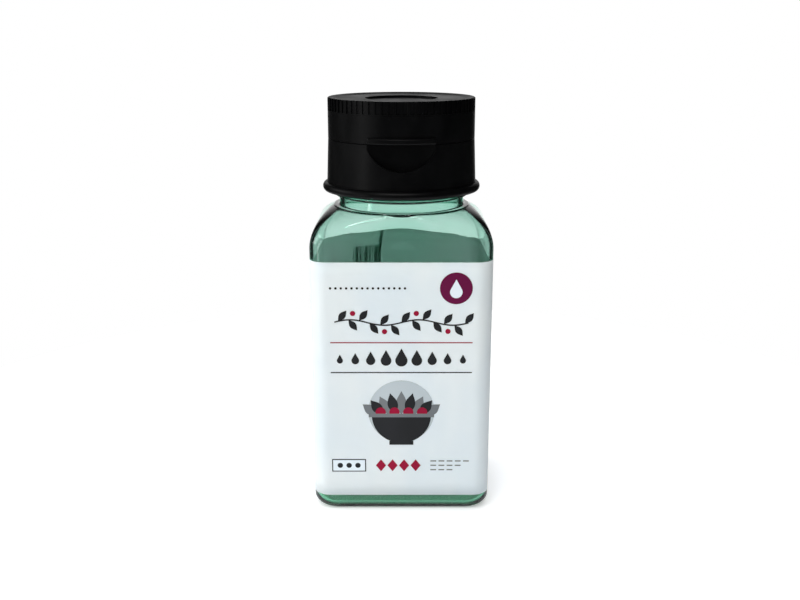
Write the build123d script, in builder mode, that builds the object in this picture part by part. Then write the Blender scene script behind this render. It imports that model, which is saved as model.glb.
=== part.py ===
from build123d import *
import os
from math import acos, cos, degrees, radians, sin

# Dressing bottle with a screw cap and a hinged flip lid, in millimetres.
# The origin is on the table, under the middle of the bottle.
# +Z is up, -Y is the front, and the lid is hinged at the back, on the +Y side.
# The cap and the bottle stack from the table up, so each height below starts from the last.

# Bottle body
body_width = 52.0
body_depth = 40.4
corner_radius = 5.0
base_edge_radius = 4.0
body_wall = 0.9
shoulder_start = 79.0

# Shoulders, which pass from the body's rounded rectangle nearly to a circle under the neck
crown_inset = 0.25
shoulder_radius = 11.4
shoulder_roundness = 0.99
shoulder_sections = 8

# Bottle base, pushed up in the middle so that it stands on a flat rim
standing_rim = 7.0
rim_flattening = 0.1
push_up_height = 1.2
push_up_taper = 40.0
floor_wall = 1.0

# Bottle neck
foot_step = 0.1
foot_height = 0.37
foot_edge_radius = 0.3
column_step = 1.65
column_height = 2.85
column_wall = 1.5
support_ring_reach = 1.2
support_ring_height = 0.8
finish_height = 14.65
finish_wall = 1.6
rim_edge = 0.3

# Label, a film wrapped round the body with its two ends lapped at the back
label_film = 0.1
label_bottom = 4.7
label_shoulder_gap = 3.0
label_lap_width = 8.0
label_lap_middle = -4.0

# Sealing liner between the rim and the cap
liner_thickness = 0.9
face_gap = 0.05
liner_side_gap = 0.3

# Cap base, with an outer shell and an inner skirt that takes the thread
cap_radius = 21.14
skirt_draft = 0.46
shell_wall = 1.3
shell_gap = 0.94
shell_edge = 0.2
bead_reach = 1.25
bead_height = 2.3
bead_foot = 0.4
skirt_gap = 0.7
inner_skirt_gap = 0.95
inner_skirt_wall = 1.0
inner_skirt_lift = 2.7
deck_thickness = 1.3
deck_rise = 1.5
deck_gap = 0.54
snap_reach = 0.2
snap_lift = 0.8
snap_half_height = 0.35
centring_gap = 0.35
centring_wall = 0.9
centring_depth = 2.6

# Pour opening in the deck, with a raised lip
pour_radius = 10.45
lip_wall = 0.9
lip_height = 1.6
lip_flare = 0.35

# Thumb scoop in the front of the cap base
scoop_radius = 10.4
scoop_rise = 3.0
scoop_depth = 2.2
scoop_wall = 1.0

# Lid
lid_gap = 0.1
lid_height = 11.4
lid_wall = 1.3
lid_plate = 1.2
lid_edge = 0.25
rim_land = 0.5
dish_width = 2.0
dish_depth = 0.35
recess_radius = 10.45
recess_depth = 0.65

# Flutes cut into the upper band of the lid
flute_count = 70
flute_width = 1.3
flute_depth = 0.3
flute_height = 3.6

# Seal plug under the lid
plug_gap = 0.15
plug_nose_gap = 0.65
plug_wall = 1.0
plug_dip = 0.4

# Thumb tab at the front of the lid
tab_width = 18.8
tab_height = 1.6
tab_reach = 0.9
tab_corner_radius = 0.8
tab_edge_radius = 0.45

# Living hinge at the back: a shelf on each half and a thin web that bends between them
hinge_width = 17.0
hinge_flare = 2.6
hinge_stand_off = 0.16
shelf_height = 1.7
shelf_root = 3.2
web_thickness = 0.35
web_reach = 0.8

# The shoulders rise on an arc, seen from the front, from the side walls to the foot of the neck
crown_radius = body_depth / 2 - crown_inset
shoulder_reach = shoulder_roundness * (body_width / 2 - crown_radius)
shoulder_sweep = degrees(acos(1 - shoulder_reach / shoulder_radius))

# Heights of the bottle
shoulder_top = shoulder_start + shoulder_radius * sin(radians(shoulder_sweep))
inner_shoulder_top = shoulder_top - body_wall * sin(radians(shoulder_sweep))
foot_top = shoulder_top + foot_height
ring_bottom = foot_top + column_height
ring_top = ring_bottom + support_ring_height
rim_top = ring_top + finish_height
label_height = shoulder_start - label_shoulder_gap - label_bottom

# Heights of the cap and the lid
liner_bottom = rim_top + face_gap
liner_top = liner_bottom + liner_thickness
deck_under = liner_top + face_gap
deck_top = deck_under + deck_thickness
ledge = deck_top - deck_rise
skirt_bottom = ring_top + skirt_gap
bead_top = skirt_bottom + bead_height
lip_top = deck_top + lip_height
snap_height = ledge + snap_lift
lid_bottom = ledge + lid_gap
lid_top = lid_bottom + lid_height
plateau = lid_top - dish_depth
recess_floor = plateau - recess_depth
lid_under = recess_floor - lid_plate
plug_bottom = deck_top - plug_dip
fold_height = ledge + lid_gap / 2

# Radii of the neck, from its foot inwards
foot_radius = crown_radius - foot_step
column_radius = foot_radius - column_step
column_bore = column_radius - column_wall
support_ring_radius = column_radius + support_ring_reach

# Radii of the cap, from its outside inwards to the neck finish that it screws on
skirt_radius = cap_radius + skirt_draft
bead_radius = skirt_radius + bead_reach
inner_skirt_outer = cap_radius - shell_wall - shell_gap
inner_skirt_radius = inner_skirt_outer - inner_skirt_wall
finish_radius = inner_skirt_radius - inner_skirt_gap
bore_radius = finish_radius - finish_wall
lid_inner = cap_radius - lid_wall
deck_radius = lid_inner - deck_gap
centring_radius = bore_radius - centring_gap
plug_radius = pour_radius - plug_gap
plug_nose_radius = pour_radius - plug_nose_gap
plug_inner = plug_nose_radius - plug_wall
hinge_face = cap_radius + hinge_stand_off


def body_form(inset, floor):
    """The body and its shoulders, with every wall moved inwards and its floor at a height."""
    half_width = body_width / 2 - inset
    half_depth = body_depth / 2 - inset
    corner = corner_radius - inset
    crown = crown_radius - inset
    with BuildPart() as form:
        with BuildSketch(Plane.XY.offset(floor)):
            RectangleRounded(2 * half_width, 2 * half_depth, corner)
        extrude(amount=shoulder_start - floor)
        fillet(form.faces().sort_by(Axis.Z)[0].edges(), base_edge_radius - inset)
        for section in range(shoulder_sections):
            turn = radians(shoulder_sweep) * section / (shoulder_sections - 1)
            reach = shoulder_radius * (1 - cos(turn))
            share = reach / (half_width - crown)
            with BuildSketch(Plane.XY.offset(shoulder_start + (shoulder_radius - inset) * sin(turn))):
                RectangleRounded(
                    2 * (half_width - reach),
                    2 * (half_depth - share * crown_inset),
                    corner + share * (crown - corner),
                )
        loft()
    return form.part


def hinge_shelf(bottom, wall):
    """One half's shelf, which fills the back of the round wall out to the flat hinge."""
    half_width = hinge_width / 2
    root = cap_radius - shelf_root
    with BuildPart() as shelf:
        with BuildSketch(Plane.XY.offset(bottom)):
            with BuildLine():
                Polyline(
                    (-half_width - hinge_flare, root),
                    (half_width + hinge_flare, root),
                    (half_width, hinge_face),
                    (-half_width, hinge_face),
                    close=True,
                )
            make_face()
            Circle(cap_radius - wall, mode=Mode.SUBTRACT)
        extrude(amount=shelf_height)
    return shelf.part


def hinge_leaf(bottom, height):
    """One half of the thin web, flat on the outer face of its shelf."""
    with BuildPart() as leaf:
        with BuildSketch(Plane.XY.offset(bottom)):
            with Locations((0, hinge_face + web_thickness / 2)):
                Rectangle(hinge_width, web_thickness)
        extrude(amount=height)
    return leaf.part


os.makedirs("parts", exist_ok=True)

# Bottle: body, neck and base, hollow through to the mouth
with BuildPart() as bottle:
    add(body_form(0, -rim_flattening))
    split(bisect_by=Plane.XY, keep=Keep.TOP)
    with BuildSketch(Plane.XZ):
        with BuildLine():
            foot_edge = CenterArc(
                (foot_radius - foot_edge_radius, foot_top - foot_edge_radius),
                foot_edge_radius,
                0,
                90,
            )
            Polyline((0, rim_top), (0, shoulder_top), (foot_radius, shoulder_top), foot_edge @ 0)
            Polyline(
                foot_edge @ 1,
                (column_radius, foot_top),
                (column_radius, ring_bottom),
                (support_ring_radius, ring_bottom),
                (support_ring_radius, ring_top),
                (finish_radius, ring_top),
                (finish_radius, rim_top - rim_edge),
                (finish_radius - rim_edge, rim_top),
                (0, rim_top),
            )
        make_face()
    revolve(axis=Axis.Z)
    add(body_form(body_wall, push_up_height + floor_wall), mode=Mode.SUBTRACT)
    with BuildSketch(Plane.XZ):
        with BuildLine():
            Polyline(
                (0, inner_shoulder_top),
                (foot_radius - body_wall, inner_shoulder_top),
                (column_bore, foot_top),
                (column_bore, ring_bottom),
                (bore_radius, ring_bottom + column_bore - bore_radius),
                (bore_radius, rim_top),
                (0, rim_top),
                close=True,
            )
        make_face()
    revolve(axis=Axis.Z, mode=Mode.SUBTRACT)
    with BuildSketch(Plane.XY):
        RectangleRounded(
            body_width - 2 * standing_rim,
            body_depth - 2 * standing_rim,
            corner_radius,
        )
    extrude(amount=push_up_height, taper=push_up_taper, mode=Mode.SUBTRACT)
bottle.part.label = "bottle"
export_step(bottle.part, "parts/bottle.step")

# Label: a sleeve of film, doubled where one end laps the other
with BuildPart() as label:
    with BuildSketch(Plane.XY.offset(label_bottom)):
        RectangleRounded(
            body_width + 2 * label_film,
            body_depth + 2 * label_film,
            corner_radius + label_film,
        )
        with Locations((label_lap_middle, body_depth / 2 + label_film)):
            Rectangle(label_lap_width, 2 * label_film)
        RectangleRounded(body_width, body_depth, corner_radius, mode=Mode.SUBTRACT)
    extrude(amount=label_height)
label.part.label = "label"
export_step(label.part, "parts/label.step")

# Sealing liner: a ring that lies on the rim, round the centring ring of the cap
with BuildPart() as liner:
    with BuildSketch(Plane.XY.offset(liner_bottom)):
        Circle(inner_skirt_radius - liner_side_gap)
        Circle(centring_radius + liner_side_gap, mode=Mode.SUBTRACT)
    extrude(amount=liner_thickness)
liner.part.label = "liner"
export_step(liner.part, "parts/liner.step")

# Backing behind the thumb scoop, trimmed to the inside of the outer shell
scoop_centre = (0, ledge + scoop_rise)
scoop_floor = cap_radius - scoop_depth
with BuildPart() as scoop_backing:
    with BuildSketch(Plane.XZ.offset(scoop_floor - scoop_wall)):
        with Locations(scoop_centre):
            Circle(scoop_radius + scoop_wall)
    extrude(amount=scoop_depth)
    with BuildSketch(Plane.XY.offset(skirt_bottom)):
        Circle(cap_radius - shell_wall / 2)
    extrude(amount=ledge - shell_wall / 2 - skirt_bottom, mode=Mode.INTERSECT)

# Space that the thumb scoop takes out of the shell, below the ledge only
with BuildPart() as scoop:
    with BuildSketch(Plane.XZ.offset(scoop_floor)):
        with Locations(scoop_centre):
            Circle(scoop_radius)
        with Locations((0, ledge - scoop_radius)):
            Rectangle(2 * scoop_radius, 2 * scoop_radius, mode=Mode.INTERSECT)
    extrude(amount=skirt_radius)

# Cap base: shell, deck, pour lip, inner skirt and centring ring in one turned profile
with BuildPart() as cap_base:
    with BuildSketch(Plane.XZ):
        with BuildLine():
            Polyline(
                (bead_radius - bead_foot, skirt_bottom),
                (skirt_radius - shell_wall, skirt_bottom),
                (cap_radius - shell_wall, ledge - shell_wall),
                (inner_skirt_outer, ledge - shell_wall),
                (inner_skirt_outer, skirt_bottom + inner_skirt_lift),
                (inner_skirt_radius, skirt_bottom + inner_skirt_lift),
                (inner_skirt_radius, deck_under),
                (centring_radius, deck_under),
                (centring_radius, deck_under - centring_depth),
                (centring_radius - centring_wall, deck_under - centring_depth),
                (centring_radius - centring_wall, deck_under),
                (pour_radius, deck_under),
                (pour_radius, lip_top),
                (pour_radius + lip_wall + lip_flare, lip_top),
                (pour_radius + lip_wall, deck_top),
                (deck_radius, deck_top),
                (deck_radius, snap_height + snap_half_height),
                (deck_radius + snap_reach, snap_height),
                (deck_radius, snap_height - snap_half_height),
                (deck_radius, ledge),
                (cap_radius - shell_edge, ledge),
                (cap_radius, ledge - shell_edge),
                (skirt_radius, bead_top),
            )
            ThreePointArc(
                (skirt_radius, bead_top),
                (bead_radius, (skirt_bottom + bead_top) / 2),
                (bead_radius - bead_foot, skirt_bottom),
            )
        make_face()
    revolve(axis=Axis.Z)
    add(hinge_shelf(ledge - shelf_height, shell_wall))
    add(scoop_backing.part)
    add(scoop.part, mode=Mode.SUBTRACT)
cap_base.part.label = "cap_base"
export_step(cap_base.part, "parts/cap_base.step")

# Thumb tab, a lip whose front edges are rounded above and below
with BuildPart() as thumb_tab:
    with BuildSketch(Plane.XY.offset(lid_bottom)) as tab_outline:
        Circle(cap_radius + tab_reach)
        with Locations((0, -cap_radius)):
            Rectangle(tab_width, cap_radius, mode=Mode.INTERSECT)
        Circle(cap_radius - lid_wall / 2, mode=Mode.SUBTRACT)
        fillet(tab_outline.vertices().sort_by(Axis.Y)[:2], tab_corner_radius)
    extrude(amount=tab_height)
    fillet(thumb_tab.faces().filter_by(Axis.Z).edges().sort_by(Axis.Y)[:2], tab_edge_radius)

# Lid: shell, dished top, seal plug, flutes, thumb tab and hinge shelf
with BuildPart() as lid:
    with BuildSketch(Plane.XZ):
        with BuildLine():
            Polyline(
                (lid_inner, lid_bottom),
                (cap_radius, lid_bottom),
                (cap_radius, lid_top - lid_edge),
                (cap_radius - lid_edge, lid_top),
                (cap_radius - lid_edge - rim_land, lid_top),
                (cap_radius - lid_edge - rim_land - dish_width, plateau),
                (recess_radius, plateau),
                (recess_radius, recess_floor),
                (0, recess_floor),
                (0, lid_under),
                (plug_inner, lid_under),
                (plug_inner, plug_bottom),
                (plug_nose_radius, plug_bottom),
                (plug_radius, lip_top),
                (plug_radius, lid_under),
                (lid_inner, lid_under),
                (lid_inner, snap_height + 2 * snap_half_height),
                (lid_inner - snap_reach, snap_height + snap_half_height),
                (lid_inner, snap_height),
                close=True,
            )
        make_face()
    revolve(axis=Axis.Z)
    with BuildSketch(Plane.XY.offset(lid_top - flute_height)):
        with PolarLocations(cap_radius, flute_count):
            Rectangle(2 * flute_depth, flute_width)
    extrude(amount=flute_height, mode=Mode.SUBTRACT)
    add(thumb_tab.part)
    add(hinge_shelf(lid_bottom, lid_wall))
lid.part.label = "lid"
export_step(lid.part, "parts/lid.step")

# The web is cut at its fold into the half on the cap base and the half on the lid
hinge_leaf_lower = hinge_leaf(ledge - web_reach, fold_height - ledge + web_reach)
hinge_leaf_lower.label = "hinge_leaf_lower"
export_step(hinge_leaf_lower, "parts/hinge_leaf_lower.step")
hinge_leaf_upper = hinge_leaf(fold_height, lid_bottom + web_reach - fold_height)
hinge_leaf_upper.label = "hinge_leaf_upper"
export_step(hinge_leaf_upper, "parts/hinge_leaf_upper.step")
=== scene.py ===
import logging
import math
from abc import ABC, abstractmethod
from collections import defaultdict
from dataclasses import dataclass, field, replace
from enum import Enum

import bmesh
import bpy
from mathutils import Matrix, Vector


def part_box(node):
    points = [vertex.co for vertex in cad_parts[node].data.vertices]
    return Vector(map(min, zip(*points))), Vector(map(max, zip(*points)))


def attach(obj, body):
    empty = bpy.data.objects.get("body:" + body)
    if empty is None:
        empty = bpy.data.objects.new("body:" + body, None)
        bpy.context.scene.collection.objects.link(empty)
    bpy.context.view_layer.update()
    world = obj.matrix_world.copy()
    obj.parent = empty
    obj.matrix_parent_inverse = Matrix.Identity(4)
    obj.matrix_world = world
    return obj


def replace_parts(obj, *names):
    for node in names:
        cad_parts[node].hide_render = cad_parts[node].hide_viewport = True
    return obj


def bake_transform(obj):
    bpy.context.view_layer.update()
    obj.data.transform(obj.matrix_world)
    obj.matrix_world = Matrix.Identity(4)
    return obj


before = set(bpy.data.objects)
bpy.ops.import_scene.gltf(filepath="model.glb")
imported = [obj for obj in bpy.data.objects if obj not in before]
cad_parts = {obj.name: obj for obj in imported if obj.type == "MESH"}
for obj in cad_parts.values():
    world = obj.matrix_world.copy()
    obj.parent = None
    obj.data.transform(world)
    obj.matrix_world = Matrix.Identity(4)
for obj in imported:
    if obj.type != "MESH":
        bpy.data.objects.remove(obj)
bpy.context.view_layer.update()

# A dressing bottle: clear blown body, wrap-round label, black screw cap with a hinged lid.
# Everything is in metres in the frame's own axes, with the front towards -Y.

MM = 0.001
QUARTER_TURN = math.pi / 2
LOG = logging.getLogger("dressing_bottle")

Point = tuple[float, float]
Outline = list[Point]
Ring = list[Vector]
Colour = tuple[float, float, float]
# Where a ramp starts and ends, and what it gives there.
Ramp = tuple[float, float, float, float]
# A node's attributes, or its sockets by name or number, with what each is given.
Given = dict[str | int, object]


class Slot(Enum):
    """Names of material slots, which no piece in this script is given."""

    BOTTLE = "clear_bottle"
    LABEL = "label_film"
    CAP = "cap_black"


def mm(*lengths: float) -> tuple[float, ...]:
    """Lengths in millimetres, as metres."""
    return tuple(length * MM for length in lengths)


def clamp(number: float, low: float = 0.0, high: float = 1.0) -> float:
    """The number, kept between two bounds."""
    return min(max(number, low), high)


class Value:
    """A number socket that adds Math nodes when it meets an operator."""

    def __init__(self, graph: "NodeGraph", socket: bpy.types.NodeSocket) -> None:
        """Keep the graph that new nodes go into, and the output socket that holds the number."""
        self.graph = graph
        self.socket = socket

    def _math(self, operation: str, other: "Value | float") -> "Value":
        """The result of one Math node, with this value first."""
        return self.graph.number("ShaderNodeMath", "Value", {"operation": operation}, {0: self, 1: other})

    def __add__(self, other: "Value | float") -> "Value":
        """Sum."""
        return self._math("ADD", other)

    __radd__ = __add__

    def __mul__(self, other: "Value | float") -> "Value":
        """Product."""
        return self._math("MULTIPLY", other)

    __rmul__ = __mul__

    def __sub__(self, other: "Value | float") -> "Value":
        """Difference."""
        return self._math("SUBTRACT", other)

    def __rsub__(self, other: float) -> "Value":
        """Difference from a plain number."""
        return self * -1.0 + other

    def ramp(self, low: float, high: float, start: float = 0.0, end: float = 1.0) -> "Value":
        """Map a stretch of values smoothly onto another.

        Args:
            low: The value that gives start.
            high: The value that gives end.
            start: The result at and below low.
            end: The result at and above high.

        Returns:
            The mapped value.
        """
        settings = {"interpolation_type": "SMOOTHSTEP"}
        sockets = {"Value": self, "From Min": low, "From Max": high, "To Min": start, "To Max": end}
        return self.graph.number("ShaderNodeMapRange", "Result", settings, sockets)


class NodeGraph:
    """A material's or the world's node tree, built node by node."""

    def __init__(self, tree: bpy.types.NodeTree) -> None:
        """Take the tree and empty it."""
        self.tree = tree
        tree.nodes.clear()

    def node(self, kind: str, settings: Given | None = None, sockets: Given | None = None) -> bpy.types.Node:
        """Add a node, set it up and feed its sockets.

        Args:
            kind: The node's type name.
            settings: Its attributes, which are set first.
            sockets: Input names or numbers, with a plain value, a Value, or an output socket.

        Returns:
            The new node.
        """
        made = self.tree.nodes.new(kind)
        for name, setting in (settings or {}).items():
            setattr(made, name, setting)
        for name, fed in (sockets or {}).items():
            source = fed.socket if isinstance(fed, Value) else fed
            if isinstance(source, bpy.types.NodeSocket):
                self.tree.links.new(source, made.inputs[name])
            else:
                made.inputs[name].default_value = source
        return made

    def number(
        self, kind: str, output: str, settings: Given | None = None, sockets: Given | None = None
    ) -> Value:
        """Add a node, fed as node() feeds it, and take one of its outputs as a number."""
        return Value(self, self.node(kind, settings, sockets).outputs[output])

    def place(self, kind: str = "Object") -> bpy.types.NodeSocket:
        """Coordinates, which on a piece are its object coordinates, in metres."""
        return self.node("ShaderNodeTexCoord").outputs[kind]

    def axis(self, name: str, kind: str = "Object") -> Value:
        """One of the coordinates, X, Y or Z, as a number."""
        return self.number("ShaderNodeSeparateXYZ", name, sockets={0: self.place(kind)})

    def noise(self, size: float, detail: float = 2.0, tall: float = 1.0) -> Value:
        """Noise whose features are about as large as size.

        Args:
            size: Width of the features, in metres.
            detail: Octaves of finer noise.
            tall: How much taller than wide the features are.

        Returns:
            The noise, from 0 to 1, mostly near a half.
        """
        scale = (1 / size, 1 / size, 1 / (size * tall))
        sockets = {"Vector": self.place(), "Scale": scale}
        placed = self.node("ShaderNodeMapping", {"vector_type": "POINT"}, sockets).outputs[0]
        sockets = {"Vector": placed, "Scale": 1.0, "Detail": detail}
        return self.number("ShaderNodeTexNoise", "Fac", sockets=sockets)

    def bump(self, height: Value, strength: float, distance: float) -> bpy.types.NodeSocket:
        """A normal bumped by a height from 0 to 1, where 1 stands for the distance in metres."""
        sockets = {"Height": height, "Strength": strength, "Distance": distance}
        return self.node("ShaderNodeBump", sockets=sockets).outputs["Normal"]

    def blend(self, factor: Value, first: Colour, second: Colour) -> bpy.types.NodeSocket:
        """A colour between two linear colours, where a factor of 0 gives the first and 1 the second."""
        sockets = {0: factor, 6: (*first, 1), 7: (*second, 1)}
        return self.node("ShaderNodeMix", {"data_type": "RGBA"}, sockets).outputs[2]


class Finish(ABC):
    """A finish made of one Principled shader, which each finish feeds in its own way."""

    name: str

    @abstractmethod
    def surface(self, graph: NodeGraph) -> Given:
        """What the shader's sockets are fed."""

    def ends(self, graph: NodeGraph) -> Given:
        """What the material's output is fed, which is the shader alone unless light passes through."""
        return {"Surface": graph.node("ShaderNodeBsdfPrincipled", sockets=self.surface(graph)).outputs[0]}

    def build(self) -> bpy.types.Material:
        """Make the material.

        Returns:
            The material.
        """
        material = bpy.data.materials.new(self.name)
        material.use_nodes = True
        graph = NodeGraph(material.node_tree)
        graph.node("ShaderNodeOutputMaterial", sockets=self.ends(graph))
        return material


@dataclass(frozen=True)
class ClearPlastic(Finish):
    """Clear blown polyester with a green tint that deepens with the wall it crosses."""

    name: str = "clear_polyester"
    refraction: float = 1.57
    clear: Colour = (0.985, 1.0, 0.995)
    tint: Colour = (0.10, 0.72, 0.54)
    tint_density: float = 360.0
    ripple_size: float = 9 * MM
    ripple_stretch: float = 2.5
    ripple_strength: float = 0.35
    ripple_height: float = 0.12 * MM
    haze_size: float = 4 * MM
    veil: Ramp = (0.35, 0.7, 0.0, 0.06)
    polish: Ramp = (0.45, 0.8, 0.01, 0.05)
    heel: Ramp = (4.5 * MM, 8 * MM, 1.0, 0.0)
    heel_tint: Colour = (0.50, 0.85, 0.66)

    def surface(self, graph: NodeGraph) -> Given:
        """A smooth clear surface with faint upright ripples, a thin haze, and a deeper green at the heel.

        Args:
            graph: The material's graph.

        Returns:
            What the shader's sockets are fed.
        """
        ripple = graph.noise(self.ripple_size, detail=1.0, tall=self.ripple_stretch)
        haze = graph.noise(self.haze_size, detail=3.0)
        heel = graph.axis("Z").ramp(*self.heel)
        return {
            "Base Color": graph.blend(haze.ramp(*self.veil) + heel, self.clear, self.heel_tint),
            "Roughness": haze.ramp(*self.polish),
            "IOR": self.refraction,
            "Transmission Weight": 1.0,
            "Normal": graph.bump(ripple, self.ripple_strength, self.ripple_height),
        }

    def ends(self, graph: NodeGraph) -> Given:
        """The shader, and the plastic inside, which takes up light.

        Args:
            graph: The material's graph.

        Returns:
            What the material's output is fed.
        """
        sockets = {"Color": (*self.tint, 1), "Density": self.tint_density}
        volume = graph.node("ShaderNodeVolumeAbsorption", sockets=sockets)
        return {**super().ends(graph), "Volume": volume.outputs[0]}


@dataclass(frozen=True)
class MouldedBlack(Finish):
    """Black polypropylene as it leaves a finely etched mould."""

    name: str = "moulded_black"
    colour: Colour = (0.0011, 0.0012, 0.0014)
    worn_colour: Colour = (0.0024, 0.0025, 0.0028)
    refraction: float = 1.49
    reflection: float = 0.17
    grain_size: float = 0.16 * MM
    grain_strength: float = 0.35
    grain_height: float = 0.02 * MM
    grain_roughness: float = 0.05
    flow_size: float = 7 * MM
    flow_stretch: float = 1.8
    wear: Ramp = (0.3, 0.75, 0.0, 1.0)
    sheen: Ramp = (0.3, 0.7, 0.34, 0.42)

    def surface(self, graph: NodeGraph) -> Given:
        """Fine grain over broad flow marks.

        Args:
            graph: The material's graph.

        Returns:
            What the shader's sockets are fed.
        """
        grain = graph.noise(self.grain_size)
        flow = graph.noise(self.flow_size, detail=3.0, tall=self.flow_stretch)
        return {
            "Base Color": graph.blend(flow.ramp(*self.wear), self.colour, self.worn_colour),
            "Roughness": flow.ramp(*self.sheen) + grain * self.grain_roughness,
            "IOR": self.refraction,
            "Specular IOR Level": self.reflection,
            "Normal": graph.bump(grain, self.grain_strength, self.grain_height),
        }


@dataclass(frozen=True)
class PrintedFilm(Finish):
    """White plastic film, or an ink on it, with the faint tension ripples of a wrapped label and their
    shading painted into its colour.
    """

    name: str
    colour: Colour
    # shade is the colour painted where the ripples fall into shade
    shade: Colour
    roughness: float = 0.42
    roughness_spread: float = 0.08
    refraction: float = 1.3
    reflection: float = 0.4
    scatter: float = 0.0
    scatter_reach: float = 0.16 * MM
    ripple_size: float = 16 * MM
    ripple_stretch: float = 2.0
    ripple_strength: float = 0.5
    ripple_height: float = 0.05 * MM
    # Where along the ripple noise the painted shade starts and where it is full
    painted_ripple_shade: Ramp = (0.35, 0.7, 0.0, 1.0)
    fibre_size: float = 0.3 * MM
    fibre_share: float = 0.02
    fibre_range: tuple[float, float] = (0.2, 0.8)

    def surface(self, graph: NodeGraph) -> Given:
        """A dull surface that scatters a little light where it is bare film, with painted shade darkening it
        along its ripples.

        Args:
            graph: The material's graph.

        Returns:
            What the shader's sockets are fed.
        """
        ripple = graph.noise(self.ripple_size, tall=self.ripple_stretch)
        fibre = graph.noise(self.fibre_size)
        roughest = self.roughness + self.roughness_spread
        return {
            # Painted shade: the colour darkens towards shade as the ripple noise that bumps the film rises
            "Base Color": graph.blend(ripple.ramp(*self.painted_ripple_shade), self.colour, self.shade),
            "Roughness": fibre.ramp(*self.fibre_range, self.roughness, roughest),
            "IOR": self.refraction,
            "Specular IOR Level": self.reflection,
            "Subsurface Weight": self.scatter,
            "Subsurface Radius": (1.0, 1.0, 1.0),
            "Subsurface Scale": self.scatter_reach,
            "Normal": graph.bump(ripple + fibre * self.fibre_share, self.ripple_strength, self.ripple_height),
        }


@dataclass(frozen=True)
class FoamSheet(Finish):
    """Foamed polyethylene of the sealing liner, with fine closed cells."""

    name: str = "foamed_polyethylene"
    colour: Colour = (0.74, 0.74, 0.71)
    wall_colour: Colour = (0.83, 0.83, 0.81)
    cell_size: float = 0.25 * MM
    cell_strength: float = 0.4
    cell_height: float = 0.05 * MM
    wall_share: Ramp = (0.1, 0.7, 0.0, 1.0)
    dullness: Ramp = (0.0, 0.8, 0.55, 0.75)

    def surface(self, graph: NodeGraph) -> Given:
        """Small cells with paler, rougher walls.

        Args:
            graph: The material's graph.

        Returns:
            What the shader's sockets are fed.
        """
        sockets = {"Vector": graph.place(), "Scale": 1 / self.cell_size}
        cells = graph.number("ShaderNodeTexVoronoi", "Distance", {"feature": "SMOOTH_F1"}, sockets)
        return {
            "Base Color": graph.blend(cells.ramp(*self.wall_share), self.colour, self.wall_colour),
            "Roughness": cells.ramp(*self.dullness),
            "Normal": graph.bump(cells, self.cell_strength, self.cell_height),
        }


@dataclass(frozen=True)
class PaleSurface(Finish):
    """The studio's floor, which shows white and keeps the object's shadow."""

    name: str = "studio_floor"
    colour: Colour = (0.93, 0.94, 0.95)
    speckle_size: float = 30 * MM
    speckle_shade: float = 0.99
    roughness: float = 0.9
    reflection: float = 0.1
    lift: float = 0.35
    lift_through_plastic: float = 0.3

    def surface(self, graph: NodeGraph) -> Given:
        """A dull pale surface that is lifted towards white for the eye.

        Args:
            graph: The material's graph.

        Returns:
            What the shader's sockets are fed.
        """
        through = graph.number("ShaderNodeLightPath", "Is Transmission Ray")
        seen = graph.number("ShaderNodeLightPath", "Is Camera Ray") + through * self.lift_through_plastic
        darker = tuple(part * self.speckle_shade for part in self.colour)
        return {
            "Base Color": graph.blend(graph.noise(self.speckle_size), self.colour, darker),
            "Roughness": self.roughness,
            "Specular IOR Level": self.reflection,
            "Emission Color": (1, 1, 1, 1),
            "Emission Strength": seen * self.lift,
        }


def finished_object(
    mesh: bmesh.types.BMesh, name: str, material: bpy.types.Material, smooth_angle: float = 35.0
) -> bpy.types.Object:
    """Turn a bmesh into a smooth-shaded object at the origin.

    Args:
        mesh: The mesh, which is freed.
        name: The piece's name.
        material: Its finish.
        smooth_angle: Edges sharper than this, in degrees, stay sharp.

    Returns:
        The object, linked to the scene.
    """
    for face in mesh.faces:
        face.smooth = True
    for edge in mesh.edges:
        if len(edge.link_faces) == 2 and edge.calc_face_angle(0.0) > math.radians(smooth_angle):
            edge.smooth = False
    data = bpy.data.meshes.new(name)
    mesh.to_mesh(data)
    mesh.free()
    data.materials.append(material)
    made = bpy.data.objects.new(name, data)
    bpy.context.scene.collection.objects.link(made)
    return made


def report(piece: bpy.types.Object) -> None:
    """Log a piece's name, its finish and the number of its faces."""
    LOG.info("%s in %s, %d faces", piece.name, piece.data.materials[-1].name, len(piece.data.polygons))


def rounded_profile(corners: Outline, radii: tuple[float, ...], steps: int) -> Outline:
    """Round the corners of an open outline with tangent arcs.

    Args:
        corners: The outline's points.
        radii: A radius for each point; 0 keeps it sharp.
        steps: Segments of each arc.

    Returns:
        The outline's points with each arc worked out.
    """
    outline: Outline = []
    for index, (corner, radius) in enumerate(zip(corners, radii)):
        if radius == 0 or index in (0, len(corners) - 1):
            outline.append(corner)
            continue
        here = Vector(corner)
        back = (Vector(corners[index - 1]) - here).normalized()
        ahead = (Vector(corners[index + 1]) - here).normalized()
        half = back.angle(ahead) / 2
        run = radius / math.tan(half)
        centre = here + (back + ahead).normalized() * (radius / math.sin(half))
        start, end = here + back * run - centre, here + ahead * run - centre
        for step in range(steps + 1):
            spoke = start.normalized().slerp(end.normalized(), step / steps)
            outline.append(tuple(centre + spoke * radius))
    return outline


def extruded(
    mesh: bmesh.types.BMesh, edges: list[bmesh.types.BMEdge]
) -> tuple[set[bmesh.types.BMVert], list[bmesh.types.BMEdge]]:
    """Extrude a run of edges in place.

    Args:
        mesh: The mesh that holds the edges.
        edges: The run.

    Returns:
        The new vertices, and the new run of edges between them.
    """
    made = bmesh.ops.extrude_edge_only(mesh, edges=edges)["geom"]
    verts = {part for part in made if isinstance(part, bmesh.types.BMVert)}
    run = [part for part in made if isinstance(part, bmesh.types.BMEdge) and verts.issuperset(part.verts)]
    return verts, run


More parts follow.
